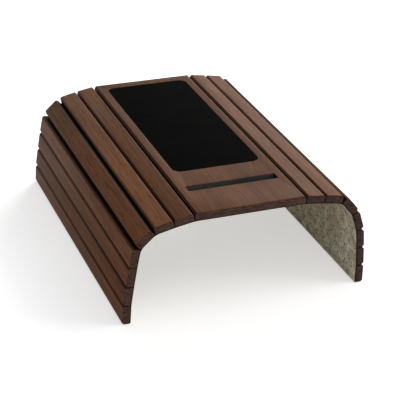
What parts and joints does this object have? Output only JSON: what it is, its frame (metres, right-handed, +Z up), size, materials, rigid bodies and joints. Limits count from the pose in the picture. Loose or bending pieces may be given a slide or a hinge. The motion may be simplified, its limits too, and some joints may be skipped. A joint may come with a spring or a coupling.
{
  "type": "sofa arm tray",
  "caption": "Arched slatted wooden tray that folds over a sofa arm: flat centre panel with an inset mat and a phone slot, on a flexible felt backing.",
  "frame": {"origin": "middle of the bounding box on the surface that the feet stand on", "axes": "+Z up out of the panel, +Y towards the tray's back (the mat's end), -Y towards its front (the phone slot's end), +X to the right across the sofa arm"},
  "size_m": [0.236, 0.3, 0.1001],
  "materials": {
    "walnut_panel": "satin walnut stain, fine grain from front to back",
    "walnut_slats": "satin walnut stain, fine grain from front to back",
    "black_foam": "matt black closed-cell foam",
    "felt": "matt grey-green felt with small dark anti-slip dots"
  },
  "bodies": {
    "centre": {"centre_panel": "walnut_panel", "inset_mat": "black_foam", "centre_felt": "felt"},
    "left_leaf_1": {"left_slat_1": "walnut_slats", "left_felt_1": "felt", "left_felt_hinge_1": "felt"},
    "left_leaf_2": {"left_slat_2": "walnut_slats", "left_felt_2": "felt", "left_felt_hinge_2": "felt"},
    "left_leaf_3": {"left_slat_3": "walnut_slats", "left_felt_3": "felt", "left_felt_hinge_3": "felt"},
    "left_leaf_4": {"left_slat_4": "walnut_slats", "left_felt_4": "felt", "left_felt_hinge_4": "felt"},
    "left_leaf_5": {"left_slat_5": "walnut_slats", "left_felt_5": "felt", "left_felt_hinge_5": "felt"},
    "left_leaf_6": {"left_slat_6": "walnut_slats", "left_felt_6": "felt", "left_felt_hinge_6": "felt"},
    "left_leaf_7": {"left_slat_7": "walnut_slats", "left_felt_7": "felt", "left_felt_hinge_7": "felt"},
    "right_leaf_1": {"right_slat_1": "walnut_slats", "right_felt_1": "felt", "right_felt_hinge_1": "felt"},
    "right_leaf_2": {"right_slat_2": "walnut_slats", "right_felt_2": "felt", "right_felt_hinge_2": "felt"},
    "right_leaf_3": {"right_slat_3": "walnut_slats", "right_felt_3": "felt", "right_felt_hinge_3": "felt"},
    "right_leaf_4": {"right_slat_4": "walnut_slats", "right_felt_4": "felt", "right_felt_hinge_4": "felt"},
    "right_leaf_5": {"right_slat_5": "walnut_slats", "right_felt_5": "felt", "right_felt_hinge_5": "felt"},
    "right_leaf_6": {"right_slat_6": "walnut_slats", "right_felt_6": "felt", "right_felt_hinge_6": "felt"},
    "right_leaf_7": {"right_slat_7": "walnut_slats", "right_felt_7": "felt", "right_felt_hinge_7": "felt"}
  },
  "joints": [
    {"name": "left_fold_1", "type": "hinge", "parent": "centre", "child": "left_leaf_1", "pos_m": [-0.05131, 0, 0.09289], "axis": [0, -1, 0], "range_deg": [-15, 20], "deforming": ["left_felt_hinge_1"]},
    {"name": "left_fold_2", "type": "hinge", "parent": "left_leaf_1", "child": "left_leaf_2", "pos_m": [-0.06953, 0, 0.08968], "axis": [0, -1, 0], "range_deg": [-8, 27], "deforming": ["left_felt_hinge_2"]},
    {"name": "left_fold_3", "type": "hinge", "parent": "left_leaf_2", "child": "left_leaf_3", "pos_m": [-0.08756, 0, 0.08552], "axis": [0, -1, 0], "range_deg": [-34.5, 25.5], "deforming": ["left_felt_hinge_3"]},
    {"name": "left_fold_4", "type": "hinge", "parent": "left_leaf_3", "child": "left_leaf_4", "pos_m": [-0.1012, 0, 0.07302], "axis": [0, -1, 0], "range_deg": [-42, 18], "deforming": ["left_felt_hinge_4"]},
    {"name": "left_fold_5", "type": "hinge", "parent": "left_leaf_4", "child": "left_leaf_5", "pos_m": [-0.10457, 0, 0.05483], "axis": [0, -1, 0], "range_deg": [-6.5, 43.5], "deforming": ["left_felt_hinge_5"]},
    {"name": "left_fold_6", "type": "hinge", "parent": "left_leaf_5", "child": "left_leaf_6", "pos_m": [-0.10746, 0, 0.03656], "axis": [0, -1, 0], "range_deg": [-6, 64], "deforming": ["left_felt_hinge_6"]},
    {"name": "left_fold_7", "type": "hinge", "parent": "left_leaf_6", "child": "left_leaf_7", "pos_m": [-0.11004, 0, 0.01824], "axis": [0, -1, 0], "range_deg": [-10.5, 69.5], "deforming": ["left_felt_hinge_7"]},
    {"name": "right_fold_1", "type": "hinge", "parent": "centre", "child": "right_leaf_1", "pos_m": [0.05419, 0, 0.09289], "axis": [0, 1, 0], "range_deg": [-13.04, 21.96], "deforming": ["right_felt_hinge_1"]},
    {"name": "right_fold_2", "type": "hinge", "parent": "right_leaf_1", "child": "right_leaf_2", "pos_m": [0.07251, 0, 0.0903], "axis": [0, 1, 0], "range_deg": [-7, 28], "deforming": ["right_felt_hinge_2"]},
    {"name": "right_fold_3", "type": "hinge", "parent": "right_leaf_2", "child": "right_leaf_3", "pos_m": [0.09072, 0, 0.08708], "axis": [0, 1, 0], "range_deg": [-45.5, 14.5], "deforming": ["right_felt_hinge_3"]},
    {"name": "right_fold_4", "type": "hinge", "parent": "right_leaf_3", "child": "right_leaf_4", "pos_m": [0.10248, 0, 0.0728], "axis": [0, 1, 0], "range_deg": [-27, 33], "deforming": ["right_felt_hinge_4"]},
    {"name": "right_fold_5", "type": "hinge", "parent": "right_leaf_4", "child": "right_leaf_5", "pos_m": [0.10803, 0, 0.05515], "axis": [0, 1, 0], "range_deg": [-17.5, 32.5], "deforming": ["right_felt_hinge_5"]},
    {"name": "right_fold_6", "type": "hinge", "parent": "right_leaf_5", "child": "right_leaf_6", "pos_m": [0.10963, 0, 0.03672], "axis": [0, 1, 0], "range_deg": [-6.5, 63.5], "deforming": ["right_felt_hinge_6"]},
    {"name": "right_fold_7", "type": "hinge", "parent": "right_leaf_6", "child": "right_leaf_7", "pos_m": [0.11075, 0, 0.01825], "axis": [0, 1, 0], "range_deg": [-8.5, 71.5], "deforming": ["right_felt_hinge_7"]}
  ]
}
